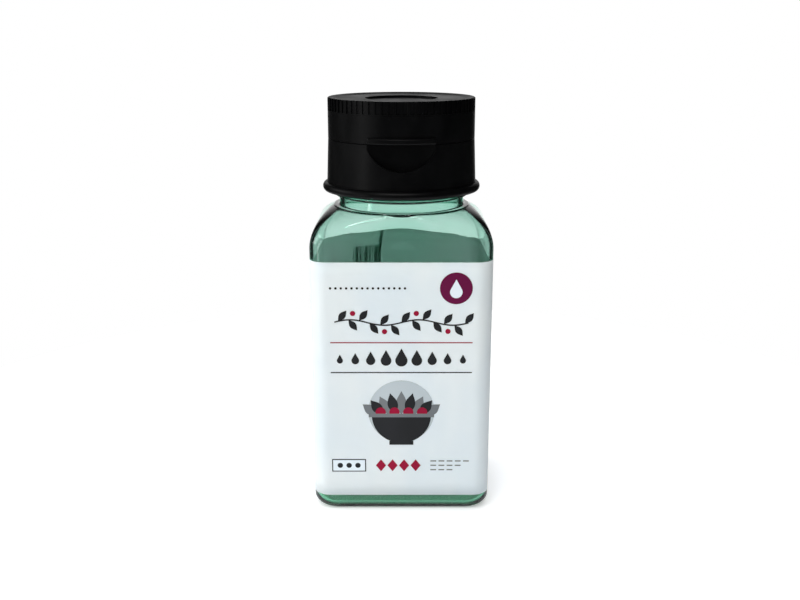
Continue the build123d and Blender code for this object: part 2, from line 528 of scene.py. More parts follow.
def ring_skin(rings: list[Ring]) -> bmesh.types.BMesh:
    """Make a closed skin, each ring extruded from the one before.

    Args:
        rings: The rings, all with the same number of points in the same order.

    Returns:
        The mesh, closed by its first and last ring, with its faces outwards.
    """
    mesh = bmesh.new()
    bmesh.ops.create_circle(mesh, cap_ends=True, segments=len(rings[0]), radius=1.0)
    ring, edges = list(mesh.verts), list(mesh.edges)
    for vert, point in zip(ring, rings[0]):
        vert.co = point
    for points in rings[1:]:
        fresh, edges = extruded(mesh, edges)
        ring = [next(v for edge in old.link_edges if (v := edge.other_vert(old)) in fresh) for old in ring]
        for vert, point in zip(ring, points):
            vert.co = point
    bmesh.ops.contextual_create(mesh, geom=edges)
    bmesh.ops.recalc_face_normals(mesh, faces=mesh.faces)
    return mesh


@dataclass(frozen=True)
class BodyForm:
    """A rounded rectangular body whose shoulders end in a circle: the outside, unless inside() made it."""

    half_width: float = 26.0 * MM
    half_depth: float = 20.2 * MM
    corner: float = 5.0 * MM
    crown_x: float = 19.95 * MM
    crown_y: float = 19.95 * MM
    shoulder_start: float = 79.0 * MM
    shoulder_rise: float = 11.4 * MM
    sweep: float = math.acos(1 - (half_width - crown_x) / shoulder_rise)
    swell: float = 0.0
    swell_width: float = 9 * MM
    swell_top: float = 87 * MM
    swell_bottom: float = 66 * MM
    swell_growth: float = 0.1
    corner_steps: int = 12
    wide_steps: int = 40
    narrow_steps: int = 28

    def inside(self, wall: float, hip_wall: float, roof_wall: float, swell: float) -> "BodyForm":
        """The inside of the walls, thicker over the hips and with a swelling in front and at the back.

        Args:
            wall: How far the walls move inwards.
            hip_wall: How far the sides of the circle move inwards.
            roof_wall: How far its height falls.
            swell: How much thicker the front and the back are where the shoulders begin.

        Returns:
            The smaller form.
        """
        return replace(
            self,
            half_width=self.half_width - wall,
            half_depth=self.half_depth - wall,
            corner=self.corner - wall,
            crown_x=self.crown_x - hip_wall,
            crown_y=self.crown_y - wall,
            shoulder_rise=self.shoulder_rise - roof_wall,
            swell=swell,
        )

    def plan(self, inset: float = 0.0) -> Ring:
        """The rounded rectangle seen from above, anticlockwise from the back end of its right side.

        Args:
            inset: How far it is moved inwards.

        Returns:
            Flat points at height 0.
        """
        reach_x, reach_y = self.half_width - self.corner, self.half_depth - self.corner
        centres = [Vector((x * reach_x, y * reach_y, 0)) for x, y in ((1, 1), (-1, 1), (-1, -1), (1, -1))]

        def on_corner(corner: int, turns: float) -> Vector:
            """A point on a corner's arc, its direction in quarter turns."""
            angle = QUARTER_TURN * turns
            return centres[corner % 4] + (self.corner - inset) * Vector((math.cos(angle), math.sin(angle), 0))

        points = []
        for corner, run_steps in enumerate((self.wide_steps, self.narrow_steps) * 2):
            for step in range(self.corner_steps + 1):
                points.append(on_corner(corner, corner + step / self.corner_steps))
            last, far = points[-1], on_corner(corner + 1, corner + 1)
            points += [last.lerp(far, step / run_steps) for step in range(1, run_steps)]
        return points

    @property
    def crown_height(self) -> float:
        """The height of the circle that the shoulders end in."""
        return self.shoulder_start + self.shoulder_rise * math.sin(self.sweep)

    def wall_ring(self, height: float) -> Ring:
        """A ring of the straight walls at a height."""
        return [self._swelled(point, height) for point in self.plan()]

    def section(self, part: float) -> Ring:
        """A ring of the shoulders, with each point in the same direction as in plan.

        Args:
            part: 0 gives the top of the walls and 1 the circle.

        Returns:
            The ring's points.
        """
        turn = part * self.sweep
        share = (1 - math.cos(turn)) / (1 - math.cos(self.sweep))
        wide = self.half_width + share * (self.crown_x - self.half_width)
        deep = self.half_depth + share * (self.crown_y - self.half_depth)
        radius = self.corner + share * (min(self.crown_x, self.crown_y) - self.corner)
        height = self.shoulder_start + self.shoulder_rise * math.sin(turn)
        return [self._swelled(self._meet(point, wide, deep, radius), height) for point in self.plan()]

    def _swelled(self, point: Vector, height: float) -> Vector:
        """A point moved inwards where the front or the back is thicker.

        Args:
            point: The flat point.
            height: Its height.

        Returns:
            The point at its height.
        """
        if abs(point.y) < self.half_depth / 2:
            return Vector((point.x, point.y, height))
        above = clamp((self.swell_top - height) / (self.swell_top - self.shoulder_start))
        below = clamp((height - self.swell_bottom) / (self.swell_growth * height))
        inwards = self.swell * above * below * math.exp(-((point.x / self.swell_width) ** 2))
        return Vector((point.x, point.y - math.copysign(inwards, point.y), height))

    @staticmethod
    def _meet(point: Vector, wide: float, deep: float, radius: float) -> Vector:
        """Where the ray from the axis through a point meets a rounded rectangle.

        Args:
            point: The flat point.
            wide: Half the rectangle's width.
            deep: Half its depth.
            radius: The radius of its corners.

        Returns:
            The flat point on the rectangle.
        """
        ray = point.normalized()
        across, back = abs(ray.x), abs(ray.y)
        if across * (deep - radius) >= back * wide:
            return ray * (wide / across)
        if back * (wide - radius) >= across * deep:
            return ray * (deep / back)
        along = across * (wide - radius) + back * (deep - radius)
        beyond = (wide - radius) ** 2 + (deep - radius) ** 2 - radius**2
        return ray * (along + math.sqrt(along**2 - beyond))


@dataclass
class Bottle:
    """The blown bottle: pushed-up base, body, shoulders, neck with its support ring, and threaded mouth."""

    form: BodyForm
    finish: bpy.types.Material
    # Thickness of the walls, of the hips at the sides of the shoulders, of the roof and of the floor
    wall: float = 0.9 * MM
    hip_wall: float = 2.0 * MM
    roof_wall: float = 0.6 * MM
    floor_wall: float = 1.6 * MM
    swell: float = 0.6 * MM
    # Base: height of its rounded edge and how far that comes in, then the pushed-up middle inside its rim
    base_edge: float = 4.0 * MM
    base_reach: tuple[float, float] = (4.4 * MM, 2.7 * MM)
    base_reach_loss: float = 0.5
    base_steps: int = 8
    rim: float = 7.0 * MM
    push_up: float = 1.2 * MM
    push_up_power: int = 4
    push_up_shares: tuple[float, ...] = (0.06, 0.3, 0.55, 0.75, 0.86, 0.93, 1.0)
    # Where the walls' rings lie, as shares of the walls' height
    wall_shares: tuple[float, ...] = (0.25, 0.5, 0.7, 0.8, 0.84, 0.88, 0.92, 0.95, 0.98, 1.0)
    shoulder_steps: int = 18
    # Neck, from the foot on the shoulders over the column and the support ring to the mouth
    foot_radius: float = 19.85 * MM
    foot_bottom: float = 0.04 * MM
    foot_top: float = 89.404 * MM
    column_radius: float = 18.2 * MM
    column_height: float = 2.85 * MM
    column_wall: float = 1.5 * MM
    column_bore_end: float = 0.5 * MM
    ring_radius: float = 19.4 * MM
    ring_height: float = 0.8 * MM
    mouth_radius: float = 16.95 * MM
    mouth_wall: float = 1.6 * MM
    mouth_height: float = 14.65 * MM
    mouth_start: float = 1.4 * MM
    mouth_end: float = 0.8 * MM
    neck_fillets: tuple[float, ...] = mm(0, 0.3, 0.5, 0.45, 0.3, 0.35, 0.7, 0)
    bore_fillets: tuple[float, ...] = mm(0, 0.4, 0.5, 0.8, 0.6, 0.5, 0)
    bore_seam: tuple[float, ...] = mm(0.1, 0.05)
    fillet_steps: int = 6
    # Screw thread, which lies thread_drop under the rim after one turn
    thread_reach: float = 0.75 * MM
    thread_pitch: float = 4.2 * MM
    thread_width: float = 1.9 * MM
    thread_turns: float = 1.5
    thread_drop: float = 6.2 * MM
    thread_fade: float = 0.06
    thread_flank: float = 2.2
    thread_margins: tuple[float, ...] = mm(1.6, 1.0)
    thread_rows: int = 56

    def build(self) -> bpy.types.Object:
        """Make the bottle as one closed skin, up the outside and down the inside.

        Returns:
            The bottle's object.
        """
        outer = self.form
        inner = outer.inside(self.wall, self.hip_wall, self.roof_wall, self.swell)
        inner_edge = self.base_edge + self.wall
        rings = [
            *self._base_rings(outer, self.base_edge, 0.0),
            *self._wall_rings(outer, self.base_edge),
            *self._shoulder_rings(outer),
            *self._neck_rings(inner),
            *reversed(self._shoulder_rings(inner)),
            *reversed(self._wall_rings(inner, inner_edge)),
            *reversed(self._base_rings(inner, inner_edge - self.floor_wall, self.floor_wall)),
        ]
        return finished_object(ring_skin(rings), "bottle_shell", self.finish)

    def _base_rings(self, form: BodyForm, edge: float, lift: float) -> list[Ring]:
        """Rings from the middle of the pushed-up base out to the top of its rounded edge.

        Args:
            form: The outside or the inside.
            edge: Height of the rounded edge.
            lift: Height of the floor over the table.

        Returns:
            The rings, from the middle outwards.
        """
        rim_x = (self.form.half_width - self.rim) / form.half_width
        rim_y = (self.form.half_depth - self.rim) / form.half_depth
        sizes = []
        for share in self.push_up_shares:
            height = self.push_up * (1 - share**self.push_up_power) + lift
            sizes.append((rim_x * share, rim_y * share, height))
        reach_x, reach_y = (reach - self.base_reach_loss * lift for reach in self.base_reach)
        for step in range(self.base_steps + 1):
            angle = QUARTER_TURN * step / self.base_steps
            left = 1 - math.sin(angle)
            height = lift + edge * (1 - math.cos(angle))
            sizes.append((1 - reach_x * left / form.half_width, 1 - reach_y * left / form.half_depth, height))
        plan = form.plan()
        return [[Vector((p.x * wide, p.y * deep, height)) for p in plan] for wide, deep, height in sizes]

    def _wall_rings(self, form: BodyForm, start: float) -> list[Ring]:
        """Rings up the straight walls, from above the height start to where the shoulders begin."""
        return [form.wall_ring(start + share * (form.shoulder_start - start)) for share in self.wall_shares]

    def _shoulder_rings(self, form: BodyForm) -> list[Ring]:
        """Rings over the shoulders, from above the walls to the circle."""
        return [form.section(step / self.shoulder_steps) for step in range(1, self.shoulder_steps + 1)]

    def _round(self, radius: float, height: float) -> Ring:
        """A ring of the neck, whose points lie in the same directions as the body's."""
        lift = Vector((0, 0, height))
        return [point.normalized() * radius + lift for point in self.form.plan()]

    def _neck_rings(self, inner: BodyForm) -> list[Ring]:
        """Rings of the neck, up its outside and down its bore.

        Args:
            inner: The inside of the body.

        Returns:
            The rings.
        """
        ring_bottom = self.foot_top + self.column_height
        ring_top = ring_bottom + self.ring_height
        outside = [
            (self.foot_radius, self.form.crown_height + self.foot_bottom),
            (self.foot_radius, self.foot_top),
            (self.column_radius, self.foot_top),
            (self.column_radius, ring_bottom),
            (self.ring_radius, ring_bottom),
            (self.ring_radius, ring_top),
            (self.mouth_radius, ring_top),
            (self.mouth_radius, ring_top + self.mouth_start),
        ]
        bore = self.mouth_radius - self.mouth_wall
        column_bore = self.column_radius - self.column_wall
        seam_inwards, seam_rise = self.bore_seam
        inside = [
            (self.mouth_radius, self.rim_top - self.mouth_end),
            (self.mouth_radius, self.rim_top),
            (bore, self.rim_top),
            (bore, ring_bottom + column_bore - bore),
            (column_bore, ring_bottom),
            (column_bore, self.foot_top - self.column_bore_end),
            (inner.crown_x - seam_inwards, inner.crown_height + seam_rise),
        ]
        start, end = ring_top + self.thread_margins[0], self.rim_top - self.thread_margins[1]
        heights = [start + (end - start) * row / self.thread_rows for row in range(self.thread_rows + 1)]
        up = rounded_profile(outside, self.neck_fillets, self.fillet_steps)
        down = rounded_profile(inside, self.bore_fillets, self.fillet_steps)
        return [
            *(self._round(*place) for place in up),
            *(self._threaded(height) for height in heights),
            *(self._round(*place) for place in down),
        ]

    @property
    def rim_top(self) -> float:
        """The height of the bottle's rim."""
        return self.foot_top + self.column_height + self.ring_height + self.mouth_height

    def thread_height(self, along: float) -> float:
        """The height of the thread's middle, some turns from its lower end."""
        return self.rim_top - self.thread_drop + self.thread_pitch * (along - 1.0)

    def _threaded(self, height: float) -> Ring:
        """A ring of the mouth, pushed out where the screw thread passes it.

        Args:
            height: The ring's height.

        Returns:
            The ring's points.
        """
        ring = []
        for point in self._round(self.mouth_radius, height):
            turn = (math.atan2(point.y, point.x) / math.tau) % 1.0
            crest = max(self._crest(turn + lap, height) for lap in range(int(self.thread_turns) + 1))
            scale = 1 + self.thread_reach * crest / self.mouth_radius
            ring.append(Vector((point.x * scale, point.y * scale, height)))
        return ring

    def _crest(self, along: float, height: float) -> float:
        """How far the thread stands out beside a point of its run.

        Args:
            along: The point, in turns from the thread's lower end.
            height: The height looked at.

        Returns:
            A share of the thread's reach, from 0 to 1.
        """
        fade = clamp(min(along, self.thread_turns - along) / self.thread_fade)
        off = abs(height - self.thread_height(along)) / (self.thread_width / 2)
        return clamp((1 - off) * self.thread_flank) * fade


@dataclass
class Label:
    """The printed film round the body, lapped at the back."""

    form: BodyForm
    finish: bpy.types.Material
    adhesive: bpy.types.Material
    bottom: float = 5.0 * MM
    top: float = 76.0 * MM
    film: float = 0.07 * MM
    stand_off: float = 0.02 * MM
    lap_left: float = -6.4 * MM
    lap_right: float = -4.9 * MM
    lap_films: float = 1.3
    flat_share: float = 0.99
    rows: int = 18

    @property
    def underside(self) -> float:
        """How far the film's inner face lies from the middle, in front and at the back."""
        return self.form.half_depth + self.stand_off

    @property
    def face(self) -> float:
        """How far its outer face lies from the middle."""
        return self.underside + self.film

    def build(self) -> bpy.types.Object:
        """Make the film as one strip that starts at the back and whose end laps its start.

        Returns:
            The label's object.
        """
        plan = self.form.plan(-self.stand_off)
        flat = self.flat_share * self.form.half_depth
        back = [index for index, point in enumerate(plan) if point.y > flat]
        start = min(back, key=lambda index: abs(plan[index].x - self.lap_right))
        loop = plan[start:] + plan[:start]
        lap = [p for p in loop if p.y > flat and self.lap_left <= p.x <= self.lap_right]
        path = loop + [loop[0]] + [Vector((p.x, p.y + self.lap_films * self.film, 0)) for p in lap]
        mesh = bmesh.new()
        first = [mesh.verts.new((p.x, p.y, self.bottom)) for p in path]
        edges = [mesh.edges.new(pair) for pair in zip(first, first[1:])]
        for _ in range(self.rows):
            fresh, edges = extruded(mesh, edges)
            bmesh.ops.translate(mesh, verts=list(fresh), vec=(0, 0, (self.top - self.bottom) / self.rows))
        made = finished_object(mesh, "label_sleeve", self.adhesive)
        made.data.materials.append(self.finish)
        solid = made.modifiers.new("film", "SOLIDIFY")
        solid.thickness = self.film
        solid.offset = 1.0
        solid.material_offset = 1
        solid.material_offset_rim = 1
        return made


class Ink(Enum):
    """The label's printing inks, as linear red, green and blue, each with the slightly darker colour painted
    where the film's ripples are in shade.
    """

    PLUM = ((0.133, 0.002, 0.048), (0.115, 0.001, 0.041))
    CRIMSON = ((0.305, 0.002, 0.032), (0.270, 0.001, 0.028))
    DARK = ((0.018, 0.019, 0.022), (0.013, 0.014, 0.016))
    GREY = ((0.170, 0.185, 0.195), (0.150, 0.165, 0.175))
    PALE = ((0.470, 0.530, 0.560), (0.440, 0.500, 0.530))
    WHITE = ((0.74, 0.82, 0.87), (0.71, 0.79, 0.84))


def arc(place: Point, radius: float, start: float, end: float, steps: int = 40) -> Outline:
    """Points of an arc from one angle in degrees to another, both ends included."""
    angles = [math.radians(start + (end - start) * step / steps) for step in range(steps + 1)]
    return [(place[0] + radius * math.cos(angle), place[1] + radius * math.sin(angle)) for angle in angles]


def turned(outline: Outline, turn: float, root: Point) -> Outline:
    """An outline turned by an angle in degrees and moved to its root."""
    cos, sin = math.cos(math.radians(turn)), math.sin(math.radians(turn))
    return [(root[0] + x * cos - z * sin, root[1] + x * sin + z * cos) for x, z in outline]


def spread(place: Point, size: Point, corners: tuple[Point, ...]) -> Outline:
    """Corners around a middle, given in halves of the width and the height."""
    return [(place[0] + x * size[0] / 2, place[1] + z * size[1] / 2) for x, z in corners]


@dataclass
class Print:
    """Shapes printed on one flat side of the label, each ink in one thin mesh a layer."""

    name: str
    face: float
    outward: float
    thickness: float = 0.01 * MM
    roughness: float = 0.38
    leaf_belly: float = 1.2
    leaf_steps: int = 12
    drop_round: tuple[float, float] = (150, 390)
    drop_tip: float = 2.1
    meshes: dict[tuple[Ink, int], bmesh.types.BMesh] = field(default_factory=lambda: defaultdict(bmesh.new))

    def stamp(self, ink: Ink, outline: Outline, layer: int = 0) -> None:
        """Print one filled shape.

        Args:
            ink: Its ink.
            outline: Its corners across and up, in metres.
            layer: 0 lies on the film, and each further layer on the one before.
        """
        mesh = self.meshes[ink, layer]
        level = self.face + self.outward * self.thickness * layer
        shape = mesh.faces.new([mesh.verts.new((x, level, z)) for x, z in outline])
        raised = bmesh.ops.extrude_face_region(mesh, geom=[shape], use_keep_orig=True)["geom"]
        verts = [part for part in raised if isinstance(part, bmesh.types.BMVert)]
        bmesh.ops.translate(mesh, verts=verts, vec=(0, self.outward * self.thickness, 0))

    def disc(self, ink: Ink, place: Point, radius: float, layer: int = 0) -> None:
        """Print a disc."""
        self.stamp(ink, arc(place, radius, 0, 360)[:-1], layer)

    def bar(self, ink: Ink, place: Point, size: Point, layer: int = 0) -> None:
        """Print a rectangle around its middle."""
        self.stamp(ink, spread(place, size, ((-1, -1), (1, -1), (1, 1), (-1, 1))), layer)

    def lozenge(self, ink: Ink, place: Point, size: Point) -> None:
        """Print a lozenge around its middle."""
        self.stamp(ink, spread(place, size, ((1, 0), (0, 1), (-1, 0), (0, -1))))

    def leaf(self, ink: Ink, root: Point, size: Point, turn: float, layer: int = 0) -> None:
        """Print a pointed leaf that grows from its root.

        Args:
            ink: Its ink.
            root: Where it starts.
            size: Its length and width.
            turn: Its direction, in degrees from the right.
            layer: As for stamp.
        """
        shares = [step / self.leaf_steps for step in range(self.leaf_steps + 1)]
        bellies = [math.sin(math.pi * share) ** self.leaf_belly for share in shares]
        upper = [(size[0] * share, size[1] / 2 * belly) for share, belly in zip(shares, bellies)]
        lower = [(x, -z) for x, z in reversed(upper[1:-1])]
        self.stamp(ink, turned(upper + lower, turn, root), layer)

    def drop(self, ink: Ink, place: Point, radius: float, layer: int = 0) -> None:
        """Print a drop with its point up."""
        tip = (place[0], place[1] + self.drop_tip * radius)
        self.stamp(ink, arc(place, radius, *self.drop_round) + [tip], layer)

    def build(self, motifs: tuple["Motif", ...]) -> list[bpy.types.Object]:
        """Print motifs and turn every ink and layer into an object.

        Args:
            motifs: The motifs, in the order in which they are printed.

        Returns:
            The objects.
        """
        for motif in motifs:
            motif.print_on(self)
        made = []
        for (ink, layer), mesh in self.meshes.items():
            bmesh.ops.recalc_face_normals(mesh, faces=mesh.faces)
            name = f"{self.name}_{ink.name.lower()}_{layer}"
            finish = PrintedFilm(f"ink_{name}", *ink.value, roughness=self.roughness)
            made.append(finished_object(mesh, name, finish.build()))
        return made


class Motif(ABC):
    """A part of the label's design, which holds its sizes and prints itself."""

    @abstractmethod
    def print_on(self, art: Print) -> None:
        """Print the motif."""


@dataclass(frozen=True)
class DropDisc(Motif):
    """A plum disc with a white drop in it, and a fine dotted line at its left."""

    place: Point = mm(15.4, 68.6)
    radius: float = 4.6 * MM
    drop_radius: float = 1.75 * MM
    drop_fall: float = 1.1 * MM
    dots: int = 15
    dots_start: float = -20.0 * MM
    dot_pitch: float = 1.5 * MM
    dot_radius: float = 0.34 * MM

    def print_on(self, art: Print) -> None:
        """Print the disc, its drop and the dots.

        Args:
            art: The print that takes them.
        """
        x, z = self.place
        art.disc(Ink.PLUM, self.place, self.radius)
        art.drop(Ink.WHITE, (x, z - self.drop_fall), self.drop_radius, layer=1)
        for dot in range(self.dots):
            art.disc(Ink.DARK, (self.dots_start + dot * self.dot_pitch, z), self.dot_radius)


@dataclass(frozen=True)
class Sprig(Motif):
    """A wavy sprig across the label, with leaves above and below it in turn, and a few berries."""

    level: float = 58.6 * MM
    half_length: float = 19.0 * MM
    stem_width: float = 0.4 * MM
    stem_steps: int = 76
    wave_height: float = 0.8 * MM
    wave_run: float = 3.1 * MM
    leaves: int = 13
    leaves_start: float = -18.0 * MM
    leaf_pitch: float = 3.0 * MM
    leaf_size: Point = mm(4.0, 1.9)
    leaf_turn: float = 52.0
    berry_every: int = 3
    berry_place: Point = mm(1.2, 1.9)
    berry_radius: float = 0.75 * MM

    def height(self, x: float) -> float:
        """The height of the stem's middle at a place across."""
        return self.level + self.wave_height * math.sin(x / self.wave_run)

    def print_on(self, art: Print) -> None:
        """Print the stem, the leaves and the berries.

        Args:
            art: The print that takes them.
        """
        across = [self.half_length * (2 * step / self.stem_steps - 1) for step in range(self.stem_steps + 1)]
        upper = [(x, self.height(x) + self.stem_width / 2) for x in across]
        lower = [(x, self.height(x) - self.stem_width / 2) for x in reversed(across)]
        art.stamp(Ink.DARK, upper + lower)
        for index in range(self.leaves):
            x = self.leaves_start + self.leaf_pitch * index
            side = 1 if index % 2 == 0 else -1
            art.leaf(Ink.DARK, (x, self.height(x)), self.leaf_size, side * self.leaf_turn, layer=1)
            if index % self.berry_every == 1:
                ahead, beside = self.berry_place
                berry = (x + ahead, self.height(x + ahead) - side * beside)
                art.disc(Ink.CRIMSON, berry, self.berry_radius, layer=1)


@dataclass(frozen=True)
class DropRow(Motif):
    """Two thin rules with a row of drops between them, the middle one the largest."""

    upper_rule: float = 52.6 * MM
    lower_rule: float = 43.6 * MM
    rule_size: Point = mm(40.5, 0.3)
    level: float = 47.2 * MM
    pitch: float = 4.4 * MM
    middle_radius: float = 1.75 * MM
    shrink: float = 0.22 * MM
    each_side: int = 4

    def print_on(self, art: Print) -> None:
        """Print the rules and the drops.

        Args:
            art: The print that takes them.
        """
        art.bar(Ink.CRIMSON, (0, self.upper_rule), self.rule_size)
        art.bar(Ink.DARK, (0, self.lower_rule), self.rule_size)
        for step in range(-self.each_side, self.each_side + 1):
            radius = self.middle_radius - self.shrink * abs(step)
            art.drop(Ink.DARK, (step * self.pitch, self.level), radius)


@dataclass(frozen=True)
class SaladBowl(Motif):
    """A salad bowl on a pale round ground, with leaves and small fruit over its rim."""

    rim: float = 30.4 * MM
    radius: float = 8.6 * MM
    ground: Point = mm(0, 31.6)
    ground_radius: float = 9.6 * MM
    leaves_each_side: int = 4
    leaf_pitch: float = 1.7 * MM
    leaf_size: Point = mm(7.6, 3.0)
    leaf_shrink: float = 0.5 * MM
    leaf_fan: float = 13.0
    fruit: int = 4
    fruit_pitch: float = 4.0 * MM
    fruit_rise: float = 1.0 * MM
    fruit_radius: float = 1.5 * MM
    band_size: Point = mm(19.0, 1.1)
    foot_size: Point = mm(7.0, 1.2)

    def print_on(self, art: Print) -> None:
        """Print the ground, the leaves, the fruit and the bowl over them.

        Args:
            art: The print that takes them.
        """
        art.disc(Ink.PALE, self.ground, self.ground_radius)
        length, width = self.leaf_size
        for step in range(-self.leaves_each_side, self.leaves_each_side + 1):
            ink = Ink.GREY if step % 2 == 0 else Ink.DARK
            root = (step * self.leaf_pitch, self.rim)
            size = (length - self.leaf_shrink * abs(step), width)
            art.leaf(ink, root, size, 90 - self.leaf_fan * step, layer=1 + step % 2)
        for step in range(self.fruit):
            x = (step - (self.fruit - 1) / 2) * self.fruit_pitch
            art.disc(Ink.CRIMSON, (x, self.rim + self.fruit_rise), self.fruit_radius, layer=3)
        art.stamp(Ink.DARK, arc((0, self.rim), self.radius, 180, 360), layer=4)
        art.bar(Ink.GREY, (0, self.rim), self.band_size, layer=5)
        art.bar(Ink.DARK, (0, self.rim - self.radius), self.foot_size, layer=5)


@dataclass(frozen=True)
class FootRow(Motif):
    """A framed box with dots at the left, crimson lozenges beside it, and fine broken rules at the right."""

    level: float = 14.6 * MM
    box_x: float = -15.4 * MM
    box_size: Point = mm(10.0, 4.0)
    box_opening: Point = mm(9.4, 3.4)
    dots_each_side: int = 1
    dot_pitch: float = 2.6 * MM
    dot_radius: float = 0.8 * MM
    lozenges: int = 4
    lozenges_start: float = -6.0 * MM
    lozenge_pitch: float = 3.4 * MM
    lozenge_size: Point = mm(3.0, 3.8)
    rules: int = 3
    dashes: int = 5
    dash_start: Point = mm(9.4, 16.0)
    dash_pitch: Point = mm(2.4, 1.4)
    dash_size: Point = mm(1.7, 0.35)

    def print_on(self, art: Print) -> None:
        """Print the box, the lozenges and the rules, each a dash shorter than the one above.

        Args:
            art: The print that takes them.
        """
        art.bar(Ink.DARK, (self.box_x, self.level), self.box_size)
        art.bar(Ink.WHITE, (self.box_x, self.level), self.box_opening, layer=1)
        for step in range(-self.dots_each_side, self.dots_each_side + 1):
            art.disc(Ink.DARK, (self.box_x + self.dot_pitch * step, self.level), self.dot_radius, layer=2)
        for step in range(self.lozenges):
            x = self.lozenges_start + self.lozenge_pitch * step
            art.lozenge(Ink.CRIMSON, (x, self.level), self.lozenge_size)
        (start_x, start_z), (pitch_x, pitch_z) = self.dash_start, self.dash_pitch
        for row in range(self.rules):
            for column in range(self.dashes - row):
                art.bar(Ink.GREY, (start_x + pitch_x * column, start_z - pitch_z * row), self.dash_size)


@dataclass(frozen=True)
class Stripes(Motif):
    """Upright stripes whose widths follow a simple rhythm."""

    stripes: int = 8
    left: float = -14.8 * MM
    level: float = 64.0 * MM
    height: float = 15.0 * MM
    gap: float = 0.35 * MM
    least_width: float = 0.35 * MM
    width_step: float = 0.4 * MM

    def print_on(self, art: Print) -> None:
        """Print the stripes from left to right.

        Args:
            art: The print that takes them.
        """
        edge = self.left
        for stripe in range(self.stripes):
            width = self.least_width + self.width_step * (stripe * 2 % 3)
            art.bar(Ink.GREY, (edge + width / 2, self.level), (width, self.height))
            edge += width + self.gap


@dataclass(frozen=True)
class RulesAndDots(Motif):
    """Three short rules over a row of dots."""

    rules: int = 3
    rule_place: Point = mm(10.0, 62.0)
    rule_pitch: float = 3.0 * MM
    rule_size: Point = mm(16.0, 0.4)
    dots: int = 6
    dot_place: Point = mm(4.5, 48.0)
    dot_pitch: float = 2.2 * MM
    dot_radius: float = 0.6 * MM

    def print_on(self, art: Print) -> None:
        """Print the rules downwards and the dots from left to right.

        Args:
            art: The print that takes them.
        """
        x, z = self.rule_place
        for row in range(self.rules):
            art.bar(Ink.GREY, (x, z - self.rule_pitch * row), self.rule_size)
        x, z = self.dot_place
        for column in range(self.dots):
            art.disc(Ink.CRIMSON, (x + self.dot_pitch * column, z), self.dot_radius)


@dataclass
class LabelArt:
    """The label's plain kitchen design, on its front, on its back and as it shows from inside."""

    label: Label
    ink_sink: float = 0.012 * MM
    front_motifs: tuple[Motif, ...] = (DropDisc(), Sprig(), DropRow(), SaladBowl(), FootRow())
    back_motifs: tuple[Motif, ...] = (Stripes(), RulesAndDots())
    inside_motifs: tuple[Motif, ...] = (Stripes(),)

    def front(self) -> list[bpy.types.Object]:
        """Print the front of the label."""
        return Print("print_front", -self.label.face, -1.0).build(self.front_motifs)

    def back(self) -> list[bpy.types.Object]:
        """Print the back of the label."""
        return Print("print_back", self.label.face, 1.0).build(self.back_motifs)

    def inside(self) -> list[bpy.types.Object]:
        """Print what shows through the film from inside the bottle."""
        return Print("print_inside", self.label.underside - self.ink_sink, 1.0).build(self.inside_motifs)


@dataclass
class HingeWeb:
    """The thin web of the living hinge, in one piece across the fold."""

    finish: bpy.types.Material
    bands: int = 16

    def build(self) -> bpy.types.Object:
        """Make the web over both leaves, cut across into bands.

        Returns:
            The web's object.
        """
        low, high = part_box("hinge_leaf_lower")[0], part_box("hinge_leaf_upper")[1]
        size = high - low
        mesh = bmesh.new()
        bmesh.ops.create_cube(mesh, size=1.0)
        bmesh.ops.scale(mesh, vec=size, verts=mesh.verts)
        bmesh.ops.translate(mesh, vec=(high + low) / 2, verts=mesh.verts)
        for band in range(1, self.bands):
            level = low.z + size.z * band / self.bands
            parts = mesh.verts[:] + mesh.edges[:] + mesh.faces[:]
            bmesh.ops.bisect_plane(mesh, geom=parts, plane_co=(0, 0, level), plane_no=(0, 0, 1))
        return finished_object(mesh, "hinge_web", self.finish)


@dataclass
class CapThread:
    """The ridge inside the cap's inner skirt, which runs half a pitch under the thread of the neck."""

    bottle: Bottle
    finish: bpy.types.Material
    skirt_radius: float = 17.9 * MM
    sink: float = 0.1 * MM
    reach: float = 0.75 * MM
    foot_width: float = 1.7 * MM
    crest_width: float = 0.7 * MM
    start: float = 0.55
    end: float = 1.5
    fade: float = 0.06
    least_reach: float = 0.05
    steps: int = 96

    def build(self) -> bpy.types.Object:
        """Make the ridge from its sections."""
        sections = [self._section(step) for step in range(self.steps + 1)]
        return finished_object(ring_skin(sections), "cap_thread", self.finish)

    def _section(self, step: int) -> Ring:
        """The ridge's section at one step of its run.

        Args:
            step: The step, counted from the lower end.

        Returns:
            The section's corners.
        """
        along = self.start + (self.end - self.start) * step / self.steps
        ray = Vector((math.cos(along * math.tau), math.sin(along * math.tau), 0))
        reach = self.reach * clamp(min(along - self.start, self.end - along) / self.fade, self.least_reach)
        foot, crest = ray * (self.skirt_radius + self.sink), ray * (self.skirt_radius - reach)
        middle = self.bottle.thread_height(along) - self.bottle.thread_pitch / 2
        corners = [
            (foot, -self.foot_width),
            (crest, -self.crest_width),
            (crest, self.crest_width),
            (foot, self.foot_width),
        ]
        return [place + Vector((0, 0, middle + width / 2)) for place, width in corners]


@dataclass(frozen=True)
class Softbox:
    """A rectangular lamp that faces the bottle, its turn in degrees from the front towards the left."""

    name: str
    turn: float
    distance: float
    height: float
    size: tuple[float, float]
    radiance: float
    aim_height: float = 0.08

    def build(self) -> None:
        """Make the lamp."""
        angle = math.radians(self.turn)
        place = Vector((-math.sin(angle), -math.cos(angle), 0)) * self.distance + Vector((0, 0, self.height))
        light = bpy.data.lights.new(self.name, "AREA")
        light.shape = "RECTANGLE"
        light.size, light.size_y = self.size
        light.energy = self.radiance * math.pi * self.size[0] * self.size[1]
        made = bpy.data.objects.new(self.name, light)
        aim = Vector((0, 0, self.aim_height)) - place
        made.matrix_world = Matrix.Translation(place) @ aim.to_track_quat("-Z", "Y").to_matrix().to_4x4()
        bpy.context.scene.collection.objects.link(made)


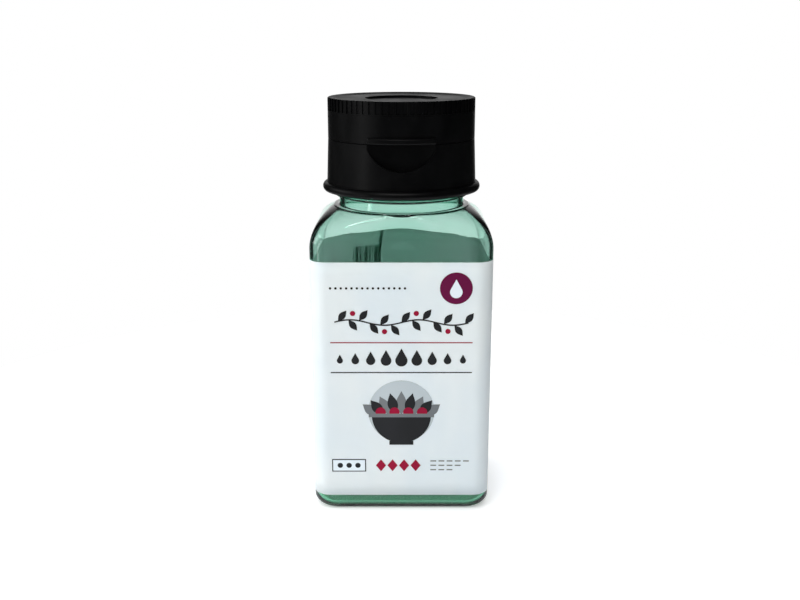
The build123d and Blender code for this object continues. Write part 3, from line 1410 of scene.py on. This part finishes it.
@dataclass
class Studio:
    """The pale floor, the soft lights and the camera."""

    floor_radius: float = 0.2
    floor_segments: int = 96
    focal_pixels: float = 980.0
    frame_width_pixels: float = 800.0
    sensor: float = 36.0
    near_clip: float = 0.005
    tilt_down: float = 15.6
    eye: tuple[float, float, float] = (-0.0004, -0.2856, 0.1393)
    backdrop_sides: Ramp = (0.22, 0.45, 1.0, 0.0)
    backdrop_depth: Ramp = (0.1, 0.4, 0.0, 1.0)
    backdrop_top: Ramp = (0.05, 0.5, 1.0, 0.0)
    surround: Ramp = (0.1, 0.9, 1.08, 0.0)
    dark_room: float = 0.02
    lamps: tuple[Softbox, ...] = (
        Softbox("window", turn=60.0, distance=0.62, height=0.12, size=(0.06, 0.42), radiance=4.5),
        Softbox("side_softbox", turn=98.0, distance=0.70, height=0.35, size=(0.36, 0.36), radiance=2.0),
        Softbox("overhead_strip", turn=12.0, distance=0.34, height=0.58, size=(0.40, 0.08), radiance=10.0),
    )

    def build(self) -> None:
        """Make the floor, the world, the lamps and the camera."""
        self._floor()
        self._world()
        for lamp in self.lamps:
            lamp.build()
            LOG.info("lamp %s", lamp.name)
        self._camera()

    def _floor(self) -> None:
        """Make a round floor under the bottle."""
        mesh = bmesh.new()
        bmesh.ops.create_circle(mesh, cap_ends=True, segments=self.floor_segments, radius=self.floor_radius)
        floor = finished_object(mesh, "studio_floor", PaleSurface().build())
        report(floor)

    def _world(self) -> None:
        """Make a world that is white for the eye.

        Dull things see a surround that darkens to the right, and shiny ones a white backdrop in a dark room.
        """
        world = bpy.data.worlds.new("studio")
        bpy.context.scene.world = world
        world.use_nodes = True
        graph = NodeGraph(world.node_tree)
        camera = graph.number("ShaderNodeLightPath", "Is Camera Ray")
        diffuse = graph.number("ShaderNodeLightPath", "Diffuse Depth").ramp(0.0, 1.0)
        across, back, up = (graph.axis(name, "Generated") for name in "XYZ")
        aside = graph.number("ShaderNodeMath", "Value", {"operation": "ABSOLUTE"}, {0: across})
        middle, depth = aside.ramp(*self.backdrop_sides), back.ramp(*self.backdrop_depth)
        backdrop = middle * depth * up.ramp(*self.backdrop_top)
        shiny = backdrop * (1.0 - self.dark_room) + self.dark_room
        dull = shiny + diffuse * (across.ramp(*self.surround) - shiny)
        strength = dull + camera * (1.0 - dull)
        background = graph.node("ShaderNodeBackground", sockets={"Color": (1, 1, 1, 1), "Strength": strength})
        graph.node("ShaderNodeOutputWorld", sockets={"Surface": background.outputs[0]})

    def _camera(self) -> None:
        """Make the camera at the photograph's viewing angle."""
        data = bpy.data.cameras.new("camera")
        data.sensor_width = self.sensor
        data.lens = self.focal_pixels / self.frame_width_pixels * self.sensor
        data.clip_start = self.near_clip
        made = bpy.data.objects.new("camera", data)
        made.location = self.eye
        made.rotation_euler = (math.radians(90 - self.tilt_down), 0, 0)
        bpy.context.scene.collection.objects.link(made)
        bpy.context.scene.camera = made


def dress_node(name: str, material: bpy.types.Material) -> None:
    """Give a CAD node its finish.

    Args:
        name: The node's name.
        material: The finish.
    """
    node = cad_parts[name]
    node.data.materials.clear()
    node.data.materials.append(material)
    report(node)


def main() -> None:
    """Build the dressed bottle and its studio, and report each piece."""
    bpy.context.scene.view_settings.view_transform = "Standard"
    form = BodyForm()
    black = MouldedBlack().build()
    bottle = Bottle(form, ClearPlastic().build())
    report(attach(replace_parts(bottle.build(), "bottle"), "bottle"))
    report(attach(CapThread(bottle, black).build(), "cap"))
    # Each film's second colour is the painted shade of its ripples
    film = PrintedFilm("white_film", colour=(0.80, 0.89, 1.0), shade=(0.74, 0.84, 0.97), scatter=1.0)
    adhesive = PrintedFilm("label_adhesive", colour=(0.80, 0.96, 0.88), shade=(0.76, 0.93, 0.84), scatter=1.0)
    label = Label(form, film.build(), adhesive.build())
    report(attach(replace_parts(label.build(), "label"), "bottle"))
    art = LabelArt(label)
    for piece in art.front() + art.back() + art.inside():
        report(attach(piece, "bottle"))
    web = HingeWeb(black).build()
    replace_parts(web, "hinge_leaf_lower", "hinge_leaf_upper")
    leaf_low, leaf_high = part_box("hinge_leaf_lower")[0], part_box("hinge_leaf_upper")[1]
    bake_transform(web)
    report(web)
    for name in ("cap_base", "lid"):
        dress_node(name, black)
    dress_node("liner", FoamSheet().build())
    Studio().build()


if __name__ == "__main__":
    logging.basicConfig(level=logging.INFO)
    main()
